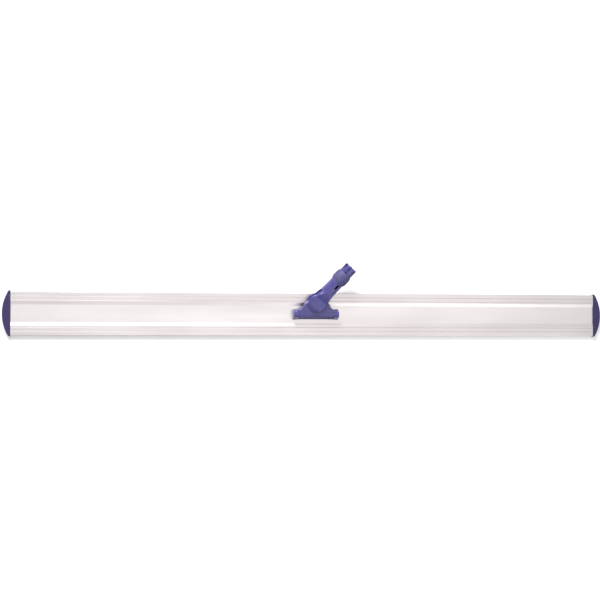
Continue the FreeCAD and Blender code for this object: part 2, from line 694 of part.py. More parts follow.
def handle_socket():
    """Fork with round cheeks, neck and slotted handle tube, in one moulding."""
    body = new_body("handle_socket")
    section = sketch_on(body, "socket_section", "XZ_Plane")
    add_outline(section, [
        ("0", "0"),
        ("neck_low", "0"),
        ("neck_knee", "neck_knee_z", "-neck_low_hollow"),
        ("neck_slim", "neck_slim_z", "-neck_high_hollow"),
        ("tube_radius", "tube_start"),
        ("tube_radius", "seat_start"),
        ("seat_radius", "seat_start"),
        ("seat_radius", "seat_end"),
        ("tube_radius", "seat_end"),
        ("tube_radius", "mouth - mouth_bevel"),
        ("tube_radius - mouth_bevel", "mouth"),
        ("bore_radius + mouth_bevel", "mouth"),
        ("bore_radius", "mouth - mouth_bevel"),
        ("bore_radius", "bore_floor"),
        ("0", "bore_floor"),
    ])
    revolve(body, section, "V_Axis")

    flats = sketch_on(body, "neck_flats", "YZ_Plane")
    for side in ("-", ""):
        add_outline(flats, [
            (side + "fork_half", "-cheek_radius"),
            (side + "fork_half", "fork_half", side + "flat_hollow"),
            (side + "tube_radius", "bore_floor"),
            (side + "2 * tube_radius", "bore_floor"),
            (side + "2 * tube_radius", "-cheek_radius"),
        ])
    pocket(body, flats, THROUGH, both_ways=True)

    cheeks = sketch_on(body, "cheek_section", "YZ_Plane")
    add_outline(cheeks, [
        ("-fork_half", "0"),
        ("fork_half", "0"),
        ("fork_half", "cheek_flat", "cheek_dome"),
        ("cheek_rim", "cheek_radius"),
        ("-cheek_rim", "cheek_radius", "cheek_dome"),
        ("-fork_half", "cheek_flat"),
    ])
    revolve(body, cheeks, "H_Axis")

    gap = sketch_on(body, "fork_gap", "YZ_Plane")
    right = [
        ("fork_gap_half", "-2 * cheek_radius"),
        ("fork_gap_half", "throat - throat_bevel"),
        ("fork_gap_half - throat_bevel", "throat"),
    ]
    add_outline(gap, right + mirrored(right))
    pocket(body, gap, THROUGH, both_ways=True)

    pin_bore = sketch_on(body, "pin_bore", "XZ_Plane", "swing_pin_front")
    add_circle(pin_bore, "0", "0", "swing_pin_radius")
    pocket(body, pin_bore, "swing_pin_front + 2 * fork_half")
    plug_seat = sketch_on(body, "plug_seat", "XZ_Plane", "-swing_pin_rear")
    add_circle(plug_seat, "0", "0", "swing_plug_radius")
    pocket(body, plug_seat, "fork_half")

    window = sketch_on(body, "window", "XZ_Plane", turn="window_turn")
    high = "window_z + window_straight"
    low = "window_z - window_straight"
    add_outline(window, [
        ("window_half", low),
        ("window_half", high, "window_half"),
        ("0", high + " + window_half", "window_half"),
        ("-window_half", high),
        ("-window_half", low, "window_half"),
        ("0", low + " - window_half", "window_half"),
    ])
    pocket(body, window, "2 * tube_radius", along_normal=True)

    notch = sketch_on(body, "notch", "XZ_Plane", turn="notch_turn")
    notch_low = "mouth - notch_depth"
    right = [
        ("slit_half", "slit_end"),
        ("slit_half", notch_low),
        ("notch_half", notch_low),
        ("notch_half", "mouth + notch_half"),
    ]
    add_outline(notch, right + mirrored(right))
    cut = pocket(body, notch, "2 * tube_radius", along_normal=True)
    before = body.Shape.Volume
    pattern = body.newObject("PartDesign::PolarPattern", "notches")
    pattern.Originals = [cut]
    pattern.Axis = (origin_feature(body, "Z_Axis"), [""])
    pattern.Angle = 360
    pattern.setExpression("Occurrences", bound("notch_count"))
    body.Tip = pattern
    document.recompute()
    if body.Shape.Volume > before - TINY:
        raise RuntimeError("the notches were not repeated")
    body.Placement = SWING_FRAME


def clamp_collar():
    """The twist collar on the tube's seat."""
    inner = "seat_radius + collar_play"
    low = "seat_start + collar_play"
    high = "seat_end - collar_play"
    turned("clamp_collar", "XZ_Plane", "V_Axis", [
        (inner, low),
        ("collar_lip", low),
        ("collar_belly", low + " + collar_taper"),
        ("collar_belly", high + " - collar_taper"),
        ("collar_lip", high),
        (inner, high),
    ], SWING_FRAME)


def check(node):
    """Stop if an object failed to recompute or its shape is no good."""
    if {"Invalid", "Error"} & set(node.State):
        raise RuntimeError("%s failed: %s" % (node.Label, node.State))


frame_profile()
hook_strip("front_hook_strip", -1)
hook_strip("rear_hook_strip", 1)
end_caps()
cap_screws("left_cap_screws", -1)
cap_screws("right_cap_screws", 1)
joint_base()
base_backing_plate()
base_screws()
tilt_pin_and_plugs()
rocker()
tilt_bushes()
swing_pieces()
handle_socket()
clamp_collar()
document.recompute()

for item in document.Objects:
    check(item)
for node in finished:
    if node.Shape.isNull() or not node.Shape.isValid() or not node.Shape.Solids:
        raise RuntimeError("%s has no valid solid" % node.Label)

os.makedirs("parts", exist_ok=True)
for node in finished:
    node.Shape.exportStep("parts/%s.step" % node.Label)
    box = node.Shape.BoundBox
    print("%-20s %d solid(s) %9.1f mm3  x %.1f..%.1f  y %.1f..%.1f  z %.1f..%.1f" % (
        node.Label, len(node.Shape.Solids), node.Shape.Volume,
        box.XMin, box.XMax, box.YMin, box.YMax, box.ZMin, box.ZMax))
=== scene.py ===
"""Looks of a wide flat mop frame: extrusion, end caps, hook strips and a two-axis handle joint."""

import json
import logging
import math
from dataclasses import dataclass
from enum import Enum
from typing import ClassVar, Optional

import bmesh
import bpy
from mathutils import Euler, Matrix, Vector


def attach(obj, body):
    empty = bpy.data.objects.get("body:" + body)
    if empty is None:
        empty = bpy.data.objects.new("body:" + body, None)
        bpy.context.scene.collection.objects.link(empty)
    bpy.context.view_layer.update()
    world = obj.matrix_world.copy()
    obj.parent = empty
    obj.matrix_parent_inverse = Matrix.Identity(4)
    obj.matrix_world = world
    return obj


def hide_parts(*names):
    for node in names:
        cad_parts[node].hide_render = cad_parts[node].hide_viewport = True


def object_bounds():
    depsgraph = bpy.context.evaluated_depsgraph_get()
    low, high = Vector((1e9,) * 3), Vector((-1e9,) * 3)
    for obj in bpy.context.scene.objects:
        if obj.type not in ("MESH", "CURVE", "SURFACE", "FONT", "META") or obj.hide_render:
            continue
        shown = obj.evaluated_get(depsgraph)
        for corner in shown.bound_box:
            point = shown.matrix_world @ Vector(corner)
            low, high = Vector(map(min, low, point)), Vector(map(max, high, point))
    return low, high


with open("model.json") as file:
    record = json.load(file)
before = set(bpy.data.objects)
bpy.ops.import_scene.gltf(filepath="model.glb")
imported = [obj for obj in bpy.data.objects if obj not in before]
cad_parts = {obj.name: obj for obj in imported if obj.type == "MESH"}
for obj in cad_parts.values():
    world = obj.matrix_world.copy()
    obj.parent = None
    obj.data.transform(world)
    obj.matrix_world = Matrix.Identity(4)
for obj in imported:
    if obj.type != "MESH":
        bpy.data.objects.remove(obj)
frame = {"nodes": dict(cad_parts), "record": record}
CAD_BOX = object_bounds()
MM = 0.001
LOG = logging.getLogger("mop_frame")

# Sockets that share a name and are told apart by number: those of a Mix node set to colours, and
# those of a Random Value node set to floats.
MIX_SHARE, MIX_FIRST, MIX_SECOND, MIX_RESULT = 0, 6, 7, 2
RANDOM_LEAST, RANDOM_MOST, RANDOM_RESULT = 2, 3, 1

SAME_SPOT_M = 1e-6
ROUNDING_SHARE = 0.45
NO_CREASES = 180.0

Spot = tuple[float, float, float]
Colour = tuple[float, float, float, float]
Outline = list[tuple[float, float]]


class Body(Enum):
    """The four bodies that the pieces ride on."""

    FRAME = "frame"
    ROCKER = "rocker"
    SOCKET = "socket"
    COLLAR = "collar"


# ---------------------------------------------------------------- small helpers


def linear(hex_colour: str) -> Colour:
    """Turn an sRGB hex colour into the linear colour that a shader takes.

    Args:
        hex_colour: six hex digits, such as "3c3a82".

    Returns:
        Linear red, green, blue and an alpha of one.
    """
    parts = [int(hex_colour[at:at + 2], 16) / 255 for at in (0, 2, 4)]
    red, green, blue = [
        part / 12.92 if part <= 0.04045 else ((part + 0.055) / 1.055) ** 2.4 for part in parts
    ]
    return red, green, blue, 1.0


def add_node(
    tree: bpy.types.NodeTree, kind: str, inputs: Optional[dict] = None, **settings: object
) -> bpy.types.Node:
    """Add a node to a tree, with its settings and its inputs' values or links.

    Args:
        tree: the node tree.
        kind: the node's type.
        inputs: values, or sockets to link from, by input name or number.
        settings: properties of the node.

    Returns:
        The new node.
    """
    node = tree.nodes.new(kind)
    for name, setting in settings.items():
        setattr(node, name, setting)
    for key, value in (inputs or {}).items():
        if isinstance(value, bpy.types.NodeSocket):
            tree.links.new(value, node.inputs[key])
        else:
            node.inputs[key].default_value = value
    return node


def new_object(name: str, shape: bmesh.types.BMesh) -> bpy.types.Object:
    """Make a linked mesh object from a bmesh and free the bmesh.

    Args:
        name: the object's name.
        shape: the shape, in the units that the caller works in.

    Returns:
        The new object, at the origin.
    """
    mesh = bpy.data.meshes.new(name)
    shape.to_mesh(mesh)
    shape.free()
    piece = bpy.data.objects.new(name, mesh)
    bpy.context.scene.collection.objects.link(piece)
    return piece


def settle(piece: bpy.types.Object) -> None:
    """Turn a piece's modifiers into plain mesh.

    Args:
        piece: the object whose modifiers are used up.
    """
    evaluated = piece.evaluated_get(bpy.context.evaluated_depsgraph_get())
    mesh = bpy.data.meshes.new_from_object(evaluated)
    piece.modifiers.clear()
    piece.data = mesh


def modify(piece: bpy.types.Object, kind: str, **settings: object) -> None:
    """Add a modifier with its settings.

    Args:
        piece: the object.
        kind: the modifier's type.
        settings: its properties.
    """
    modifier = piece.modifiers.new(kind.lower(), kind)
    for name, setting in settings.items():
        setattr(modifier, name, setting)


def drop(piece: bpy.types.Object) -> None:
    """Delete a helper object."""
    bpy.data.objects.remove(piece, do_unlink=True)


def arc(
    centre: tuple[float, float], radius: float, start: float, end: float, steps: int
) -> Outline:
    """Points along an arc.

    Args:
        centre: the arc's centre.
        radius: its radius.
        start: first angle in degrees.
        end: last angle in degrees.
        steps: number of stretches.

    Returns:
        steps + 1 points.
    """
    across, along = centre
    turns = [math.radians(start + (end - start) * step / steps) for step in range(steps + 1)]
    return [(across + radius * math.cos(turn), along + radius * math.sin(turn)) for turn in turns]


def rounded(outline: Outline, radius: float, steps: int = 3) -> Outline:
    """Round every corner of a closed outline.

    Args:
        outline: the corners in order.
        radius: the wanted radius; a short side gets as much of it as it can take.
        steps: stretches of each rounding.

    Returns:
        The outline with each corner drawn as a short curve.
    """
    points = []
    for index, corner in enumerate(outline):
        here = Vector(corner)
        before = Vector(outline[index - 1]) - here
        after = Vector(outline[(index + 1) % len(outline)]) - here
        reach = min(radius, before.length * ROUNDING_SHARE, after.length * ROUNDING_SHARE)
        start = here + before.normalized() * reach
        end = here + after.normalized() * reach
        for step in range(steps + 1):
            part = step / steps
            spot = start * (1 - part) ** 2 + here * (2 * part * (1 - part)) + end * part ** 2
            points.append((spot.x, spot.y))
    return points


def lathe(profile: Outline, segments: int) -> bmesh.types.BMesh:
    """Turn a closed half section once round +Z.

    Args:
        profile: radius and height of each corner; the first and last lie on the axis or the
            profile closes on itself away from it.
        segments: steps of the turn.

    Returns:
        The closed shape, with its faces outwards.
    """
    shape = bmesh.new()
    turns = [2 * math.pi * step / segments for step in range(segments)]
    rings = []
    for radius, height in profile:
        if radius:
            spots = [(radius * math.cos(turn), radius * math.sin(turn), height) for turn in turns]
            rings.append([shape.verts.new(spot) for spot in spots])
        else:
            rings.append([shape.verts.new((0, 0, height))] * segments)
    for low, high in zip(rings, rings[1:] + rings[:1]):
        for index in range(segments):
            after = (index + 1) % segments
            corners = dict.fromkeys((low[index], low[after], high[after], high[index]))
            if len(corners) > 2:
                shape.faces.new(list(corners))
    bmesh.ops.recalc_face_normals(shape, faces=shape.faces)
    return shape


def prism(outline: Outline, start: float, end: float) -> bmesh.types.BMesh:
    """Extrude an outline along +Z.

    Args:
        outline: the outline, in X and Y.
        start: the lower height.
        end: the upper height.

    Returns:
        The closed shape, with its faces outwards.
    """
    shape = bmesh.new()
    low = [shape.verts.new((x, y, start)) for x, y in outline]
    high = [shape.verts.new((x, y, end)) for x, y in outline]
    low_edges = []
    high_edges = []
    for index in range(len(outline)):
        after = (index + 1) % len(outline)
        shape.faces.new((low[index], low[after], high[after], high[index]))
        low_edges.append(shape.edges.get((low[index], low[after])))
        high_edges.append(shape.edges.get((high[index], high[after])))
    for edges in (low_edges, high_edges):
        bmesh.ops.triangle_fill(shape, use_beauty=True, edges=edges)
    bmesh.ops.recalc_face_normals(shape, faces=shape.faces)
    return shape


def box(low: Spot, high: Spot) -> bmesh.types.BMesh:
    """Make a block with flat faces between two corners."""
    outline = [(low[0], low[1]), (high[0], low[1]), (high[0], high[1]), (low[0], high[1])]
    return prism(outline, low[2], high[2])


def turned_about_z(shape: bmesh.types.BMesh, degrees: float) -> bmesh.types.BMesh:
    """Turn a shape about +Z.

    Args:
        shape: the shape.
        degrees: the angle.

    Returns:
        The same shape.
    """
    turn = Matrix.Rotation(math.radians(degrees), 4, "Z")
    bmesh.ops.transform(shape, matrix=turn, verts=shape.verts)
    return shape


def place(piece: bpy.types.Object, where: Matrix) -> None:
    """Move a mesh made in millimetres to its place in the row frame.

    Args:
        piece: the object, which stays at the origin.
        where: the local frame, in metres.
    """
    piece.data.transform(where @ Matrix.Scale(MM, 4))
    piece.data.update()


def shade(piece: bpy.types.Object, material: bpy.types.Material, crease: float = 32) -> None:
    """Give a piece its material and smooth faces with creases.

    Args:
        piece: the object.
        material: its material.
        crease: edges sharper than this many degrees stay creased.
    """
    piece.data.materials.clear()
    piece.data.materials.append(material)
    piece.data.polygons.foreach_set("use_smooth", [True] * len(piece.data.polygons))
    piece.data.set_sharp_from_angle(angle=math.radians(crease))


def hand_over(piece: bpy.types.Object, body: Body, slot: str, *nodes: str) -> None:
    """Hang a piece on the empty of the body that carries it and hide the nodes it stands for.

    Args:
        piece: the finished object.
        body: the body that carries it.
        slot: not used.
        nodes: CAD nodes that it replaces.
    """
    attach(piece, body.value)
    if nodes:
        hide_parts(*nodes)
    LOG.info("%s rides on %s, %d faces", piece.name, body.value, len(piece.data.polygons))


def socket_frame() -> Matrix:
    """Work out the handle socket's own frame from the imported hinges.

    Returns:
        The frame at the swing hinge, with +Y along its pin and +Z along the tube.
    """
    hinges = {joint["name"]: joint for joint in frame["record"]["behaviour"]["joints"]}
    pin = Vector(hinges["swing_hinge"]["axis"])
    tube = Vector(hinges["collar_twist"]["axis"])
    turn = Matrix((pin.cross(tube), pin, tube)).transposed().to_4x4()
    return Matrix.Translation(hinges["swing_hinge"]["pos_m"]) @ turn


# ---------------------------------------------------------------- finishes


@dataclass(frozen=True)
class Finish:
    """A real material and how its surface was made."""

    NOISE_ENDS: ClassVar[tuple[float, float]] = (0.3, 0.7)

    name: str
    colour: str
    second: str
    roughness: float
    depth_mm: float

    def material(self) -> bpy.types.Material:
        """Make the material, or return it if it is there already.

        Returns:
            The material with its shader and patterns.
        """
        found = bpy.data.materials.get(self.name)
        if found:
            return found
        material = bpy.data.materials.new(self.name)
        material.use_nodes = True
        tree = material.node_tree
        tree.nodes.clear()
        shader = add_node(tree, "ShaderNodeBsdfPrincipled")
        add_node(tree, "ShaderNodeOutputMaterial", {"Surface": shader.outputs["BSDF"]})
        self.dress(tree, shader)
        return material

    def dress(self, tree: bpy.types.NodeTree, shader: bpy.types.Node) -> None:
        """Set the shader's sockets and patterns.

        Args:
            tree: the material's nodes.
            shader: its Principled shader.
        """
        raise NotImplementedError

    def grain(
        self, tree: bpy.types.NodeTree, size_mm: Spot, octaves: float, low: float, high: float
    ) -> bpy.types.NodeSocket:
        """Irregular marks of a real size on the piece's own coordinates.

        Args:
            tree: the material's nodes.
            size_mm: length of a mark along X, Y and Z.
            octaves: finer marks added to it.
            low: value where the marks are weakest.
            high: value where they are strongest.

        Returns:
            The value between low and high.
        """
        spot = add_node(tree, "ShaderNodeTexCoord").outputs["Object"]
        scale = [1 / (size * MM) for size in size_mm]
        mapped = add_node(tree, "ShaderNodeMapping", {"Vector": spot, "Scale": scale}).outputs[0]
        marks = {"Vector": mapped, "Scale": 1.0, "Detail": octaves}
        noise = add_node(tree, "ShaderNodeTexNoise", marks).outputs[0]
        least, most = self.NOISE_ENDS
        ends = {"Value": noise, "From Min": least, "From Max": most, "To Min": low, "To Max": high}
        return add_node(tree, "ShaderNodeMapRange", ends).outputs[0]

    def skin(
        self,
        tree: bpy.types.NodeTree,
        shader: bpy.types.Node,
        tone: bpy.types.NodeSocket,
        gloss: bpy.types.NodeSocket,
        height: bpy.types.NodeSocket,
    ) -> None:
        """Link the tone, the gloss and the height to the shader.

        Args:
            tree: the material's nodes.
            shader: its Principled shader.
            tone: share of the second colour.
            gloss: roughness.
            height: height of the marks, from 0 to 1.
        """
        colours = {
            MIX_SHARE: tone, MIX_FIRST: linear(self.colour), MIX_SECOND: linear(self.second),
        }
        mixed = add_node(tree, "ShaderNodeMix", colours, data_type="RGBA")
        bump = add_node(tree, "ShaderNodeBump", {"Height": height, "Distance": self.depth_mm * MM})
        tree.links.new(mixed.outputs[MIX_RESULT], shader.inputs["Base Color"])
        tree.links.new(gloss, shader.inputs["Roughness"])
        tree.links.new(bump.outputs[0], shader.inputs["Normal"])


@dataclass(frozen=True)
class LinedMetal(Finish):
    """A metal whose surface carries lines along X."""

    CLOUD_MM: ClassVar[Spot] = (180, 45, 45)
    CLOUD_SHARE: ClassVar[float] = 0.45
    GLOSS_SWING: ClassVar[float] = 0.05
    BAND_RAMP_MM: ClassVar[tuple[float, float]] = (-3, 5)
    BAND_SHARE: ClassVar[float] = 0.35

    line_mm: float
    run_mm: float
    anisotropy: float = 0.0
    field_mm: float = 0.0

    def dress(self, tree: bpy.types.NodeTree, shader: bpy.types.Node) -> None:
        """Vary the gloss and the height in lines along X, and the tone in a wide cloud.

        Args:
            tree: the material's nodes.
            shader: its Principled shader.
        """
        tone = self.grain(tree, self.CLOUD_MM, 2, 0, self.CLOUD_SHARE)
        if self.field_mm:
            tone = self.bands(tree, tone)
        lines = (self.run_mm, self.line_mm, self.line_mm)
        dull, bright = self.roughness + self.GLOSS_SWING, self.roughness - self.GLOSS_SWING
        gloss = self.grain(tree, lines, 3, bright, dull)
        self.skin(tree, shader, tone, gloss, self.grain(tree, lines, 3, 0, 1))
        shader.inputs["Metallic"].default_value = 1.0
        shader.inputs["Anisotropic"].default_value = self.anisotropy

    def bands(self, tree: bpy.types.NodeTree, tone: bpy.types.NodeSocket) -> bpy.types.NodeSocket:
        """Darken what lies outside a middle field along X.

        Args:
            tree: the material's nodes.
            tone: share of the second colour so far.

        Returns:
            The share with the bands added.
        """
        spot = add_node(tree, "ShaderNodeTexCoord").outputs["Object"]
        across = add_node(tree, "ShaderNodeSeparateXYZ", {"Vector": spot}).outputs["Y"]
        away = add_node(tree, "ShaderNodeMath", {0: across}, operation="ABSOLUTE").outputs[0]
        start, end = [(self.field_mm + step) * MM for step in self.BAND_RAMP_MM]
        ends = {
            "Value": away, "From Min": start, "From Max": end, "To Min": 0.0,
            "To Max": self.BAND_SHARE,
        }
        band = add_node(tree, "ShaderNodeMapRange", ends).outputs[0]
        return add_node(tree, "ShaderNodeMath", {0: tone, 1: band}, operation="ADD").outputs[0]


@dataclass(frozen=True)
class MouldedPlastic(Finish):
    """An injection-moulded plastic with a polished or spark-eroded skin."""

    FLOW_MM: ClassVar[Spot] = (22, 22, 22)
    GLOSS_SWING: ClassVar[tuple[float, float]] = (0.04, 0.06)
    IOR: ClassVar[float] = 1.5
    COAT_ROUGHNESS: ClassVar[float] = 0.12

    grain_mm: float
    coat: float = 0.0

    def dress(self, tree: bpy.types.NodeTree, shader: bpy.types.Node) -> None:
        """Vary the tone with flow marks and the gloss with a fine grain.

        Args:
            tree: the material's nodes.
            shader: its Principled shader.
        """
        flow = self.grain(tree, self.FLOW_MM, 3, 0, 1)
        size = (self.grain_mm,) * 3
        less, more = self.GLOSS_SWING
        gloss = self.grain(tree, size, 2, self.roughness - less, self.roughness + more)
        self.skin(tree, shader, flow, gloss, self.grain(tree, size, 2, 0, 1))
        shader.inputs["IOR"].default_value = self.IOR
        shader.inputs["Coat Weight"].default_value = self.coat
        shader.inputs["Coat Roughness"].default_value = self.COAT_ROUGHNESS


# Aluminium extrusion, satin anodised: a pale soft sheen with die lines along its length, drawn
# wider than the real 0.1 mm so that they show.
SATIN_ANODISED = LinedMetal(
    "satin_anodised_aluminium", "e3ddde", "d1caca", 0.36, 0.002, 0.8, 260, 0.2, 27
)
# Steel, zinc-plated and tumbled: a cool, slightly cloudy sheen.
ZINC_STEEL = LinedMetal("zinc_plated_steel", "c3c6c8", "a9adb0", 0.32, 0.004, 3, 3)
# Steel, ground between centres: fine lines and a brighter sheen.
GROUND_STEEL = LinedMetal("ground_steel", "c8c9cc", "b4b5b9", 0.22, 0.002, 0.3, 9)
# Polypropylene from a polished mould: a sharp gloss over a slightly wavy blue-violet skin.
POLISHED_PP = MouldedPlastic("polished_polypropylene", "3c3776", "443f7e", 0.28, 0.004, 0.9, 0.15)
# Polypropylene from a spark-eroded mould: the grip scatters the light.
ERODED_PP = MouldedPlastic("eroded_polypropylene", "4a4976", "525180", 0.6, 0.02, 0.5)
# ABS from a finely eroded mould: darker and satin.
SATIN_ABS = MouldedPlastic("satin_abs", "241a4d", "2a2051", 0.46, 0.01, 0.6)
# Nylon 6, moulded in one with its hooks: milky and a little glossy.
HOOK_NYLON = MouldedPlastic("moulded_nylon", "d9d8d4", "cfcdc8", 0.42, 0.006, 0.5)
# Acetal, turned: cream white with a low gloss.
TURNED_ACETAL = MouldedPlastic("turned_acetal", "e6e3da", "dcd8cd", 0.35, 0.004, 0.4)
# Matt wall paint, rolled: pale and even, with faint mottling.
MATT_PAINT = MouldedPlastic("matt_paint", "fafafa", "f7f7f7", 0.9, 0.01, 4)


def dress_nodes(finish: Finish, *nodes: str) -> None:
    """Give CAD nodes that stay as they are their material.

    Args:
        finish: the finish.
        nodes: the CAD nodes.
    """
    for node in nodes:
        piece = frame["nodes"][node]
        piece.data.materials.clear()
        piece.data.materials.append(finish.material())
        LOG.info("%s keeps its mesh and gets %s", node, finish.name)


# ---------------------------------------------------------------- studio


@dataclass(frozen=True)
class Softbox:
    """A rectangular soft white light that points at a spot."""

    name: str
    at: Spot
    aim: Spot
    side: tuple[float, float]
    power: float

    def light(self) -> None:
        """Hang the light."""
        lamp = bpy.data.lights.new(self.name, "AREA")
        lamp.shape = "RECTANGLE"
        lamp.size, lamp.size_y = self.side
        lamp.energy = self.power
        holder = bpy.data.objects.new(self.name, lamp)
        holder.location = self.at
        way = Vector(self.aim) - Vector(self.at)
        holder.rotation_euler = way.to_track_quat("-Z", "Y").to_euler()
        bpy.context.scene.collection.objects.link(holder)


@dataclass(frozen=True)
class Studio:
    """Pale floor, soft lights and the camera that looks down on the frame."""

    camera_at: Spot = (-0.4636, 0.0038, 2.5581)
    camera_turn: Spot = (0.675, -9.455, 0.255)
    lens_mm: float = 61.87
    sensor_mm: float = 36.0
    floor_side: float = 12.0
    floor_thick_mm: float = 20.0
    floor_gap_mm: float = 0.3
    room_colour: str = "ffffff"
    room_light: float = 0.5
    lights: tuple[Softbox, ...] = (
        Softbox("overhead", (0.5, 0.0, 3.2), (0.5, 0.0, 0.0), (3.75, 4.6), 40.5),
        Softbox("rear_key", (-1.0, 2.6, 1.9), (0.0, 0.0, 0.0), (1.0, 1.0), 145.0),
        Softbox("front_fill", (1.3, -1.9, 2.1), (0.0, 0.0, 0.0), (1.3, 1.3), 13.0),
    )

    def build(self) -> None:
        """Make the camera, the floor and the lights."""
        self.set_camera()
        self.lay_floor()
        for light in self.lights:
            light.light()
        scene = bpy.context.scene
        scene.view_settings.view_transform = "Standard"
        world = bpy.data.worlds.new("white_room")
        world.use_nodes = True
        background = world.node_tree.nodes["Background"].inputs
        background["Color"].default_value = linear(self.room_colour)
        background["Strength"].default_value = self.room_light
        scene.world = world
        LOG.info("studio with %d lights", len(self.lights))

    def set_camera(self) -> None:
        """Put the camera over the frame, left of its middle."""
        camera = bpy.data.cameras.new("camera")
        camera.lens = self.lens_mm
        camera.sensor_width = self.sensor_mm
        holder = bpy.data.objects.new("camera", camera)
        holder.location = self.camera_at
        holder.rotation_euler = Euler([math.radians(turn) for turn in self.camera_turn])
        bpy.context.scene.collection.objects.link(holder)
        bpy.context.scene.camera = holder

    def lay_floor(self) -> None:
        """Lay a matt painted floor just under the frame."""
        top = CAD_BOX[0].z / MM - self.floor_gap_mm
        half = self.floor_side / 2 / MM
        slab = box((-half, -half, top - self.floor_thick_mm), (half, half, top))
        floor = new_object("floor", slab)
        floor.data.transform(Matrix.Scale(MM, 4))
        shade(floor, MATT_PAINT.material())


# ---------------------------------------------------------------- repeated shapes


class Repeat:
    """A Geometry Nodes tree that repeats one small shape, with its sizes as named inputs."""

    KINDS = {float: "NodeSocketFloat", int: "NodeSocketInt", Vector: "NodeSocketVector"}

    def __init__(self, name: str, seed_shape: bpy.types.Object, sizes: dict[str, object]) -> None:
        """Open the tree and its inputs.

        Args:
            name: the tree's name.
            seed_shape: the shape that is repeated, in millimetres.
            sizes: values by input name.
        """
        self.tree = bpy.data.node_groups.new(name, "GeometryNodeTree")
        self.seed_shape = seed_shape
        self.values: dict[str, object] = {}
        self.open("Geometry", "NodeSocketGeometry", "INPUT")
        self.open("Geometry", "NodeSocketGeometry", "OUTPUT")
        self.values[self.open("Shape", "NodeSocketObject", "INPUT")] = seed_shape
        for label, size in sizes.items():
            self.values[self.open(label, self.KINDS[type(size)], "INPUT")] = size
        self.inputs = add_node(self.tree, "NodeGroupInput").outputs

    def open(self, label: str, kind: str, way: str) -> str:
        """Add a socket to the tree's interface and return its identifier."""
        return self.tree.interface.new_socket(label, in_out=way, socket_type=kind).identifier

    def lay(self, points: bpy.types.NodeSocket, turn: bpy.types.NodeSocket, finish: Finish) -> None:
        """Put the shape on the points, join it to what comes in and dress it all.

        Args:
            points: geometry whose points are used.
            turn: rotation of each shape.
            finish: the finish of the whole.
        """
        shape = add_node(self.tree, "GeometryNodeObjectInfo", {"Object": self.inputs["Shape"]})
        laid = {"Points": points, "Instance": shape.outputs["Geometry"], "Rotation": turn}
        instances = add_node(self.tree, "GeometryNodeInstanceOnPoints", laid).outputs[0]
        real = add_node(self.tree, "GeometryNodeRealizeInstances", {0: instances}).outputs[0]
        whole = add_node(self.tree, "GeometryNodeJoinGeometry", {0: real})
        self.tree.links.new(self.inputs["Geometry"], whole.inputs[0])
        dressed = {"Geometry": whole.outputs[0], "Material": finish.material()}
        done = add_node(self.tree, "GeometryNodeSetMaterial", dressed).outputs[0]
        add_node(self.tree, "NodeGroupOutput", {0: done})

    def apply(self, piece: bpy.types.Object) -> None:
        """Run the tree on a piece, keep the result as plain mesh and drop the shape.

        Args:
            piece: the piece that the shapes are added to.
        """
        modifier = piece.modifiers.new(self.tree.name, "NODES")
        modifier.node_group = self.tree
        for identifier, size in self.values.items():
            modifier[identifier] = size
        settle(piece)
        drop(self.seed_shape)


def hooks_over(
    piece: bpy.types.Object, hook: bpy.types.Object, field: "HookField", middle: Vector
) -> None:
    """Cover a field with hooks that each turn a little their own way.

    Args:
        piece: the strip.
        hook: one hook, in millimetres.
        field: the field's sizes.
        middle: the field's middle, in millimetres.
    """
    sizes = {
        "Length": field.length, "Width": field.width, "Columns": field.columns,
        "Rows": field.rows, "Middle": middle, "Turn": field.turn, "Seed": field.seed,
    }
    repeat = Repeat("hook_field", hook, sizes)
    tree, inputs = repeat.tree, repeat.inputs
    spread = {
        "Size X": inputs["Length"], "Size Y": inputs["Width"],
        "Vertices X": inputs["Columns"], "Vertices Y": inputs["Rows"],
    }
    grid = add_node(tree, "GeometryNodeMeshGrid", spread).outputs["Mesh"]
    moved = {"Geometry": grid, "Translation": inputs["Middle"]}
    points = add_node(tree, "GeometryNodeTransform", moved).outputs[0]
    back = {0: inputs["Turn"], 1: -1.0}
    least = add_node(tree, "ShaderNodeMath", back, operation="MULTIPLY").outputs[0]
    limits = {RANDOM_LEAST: least, RANDOM_MOST: inputs["Turn"], "Seed": inputs["Seed"]}
    turn = add_node(tree, "FunctionNodeRandomValue", limits).outputs[RANDOM_RESULT]
    spin = add_node(tree, "ShaderNodeCombineXYZ", {"Z": turn}).outputs[0]
    repeat.lay(points, spin, HOOK_NYLON)
    repeat.apply(piece)


def screws_at(piece: bpy.types.Object, screw: bpy.types.Object, turn: Vector) -> None:
    """Put a screw at each loose vertex of a piece, which then holds the screws alone.

    Args:
        piece: a mesh of loose vertices, in millimetres.
        screw: one screw, its head on +Z.
        turn: rotation of every screw.
    """
    repeat = Repeat("screw_set", screw, {"Turn": turn})
    repeat.lay(repeat.inputs["Geometry"], repeat.inputs["Turn"], ZINC_STEEL)
    repeat.apply(piece)
    bare = bmesh.new()
    bare.from_mesh(piece.data)
    loose = [vertex for vertex in bare.verts if not vertex.link_faces]
    bmesh.ops.delete(bare, geom=loose, context="VERTS")
    bare.to_mesh(piece.data)
    bare.free()


